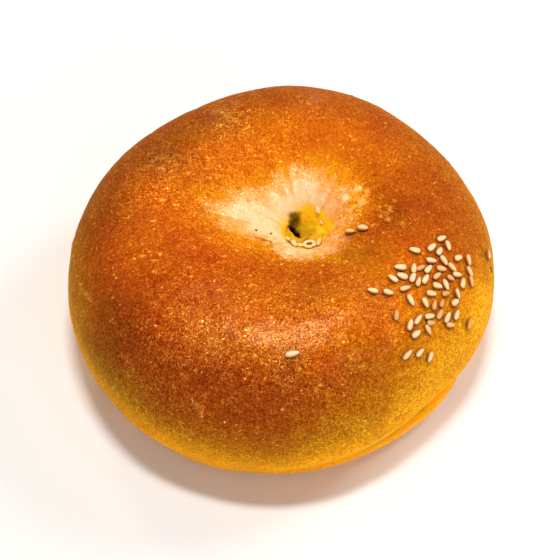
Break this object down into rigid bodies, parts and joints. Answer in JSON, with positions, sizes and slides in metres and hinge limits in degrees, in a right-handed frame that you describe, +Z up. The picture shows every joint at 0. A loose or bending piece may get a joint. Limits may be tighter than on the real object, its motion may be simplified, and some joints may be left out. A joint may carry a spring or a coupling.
{
  "type": "red bean bun",
  "caption": "Round glazed sweet bun with a small split navel pressed into its domed top and sesame seeds scattered to one side.",
  "frame": {"origin": "middle of the flat base, under the middle of the bun's box", "axes": "+Z up through the domed top, -Y to the front where the low side shows its crease on the right, +X to the side with the sesame seeds"},
  "size_m": [0.1004, 0.1006, 0.041],
  "materials": {
    "crust": "egg-washed baked crust, semi-gloss, paler low on the side and in the navel",
    "sesame_seed": "hulled toasted seed, satin",
    "bean_paste": "moist dark paste, satin"
  },
  "bodies": {
    "root": {"bun": "crust"}
  },
  "joints": []
}
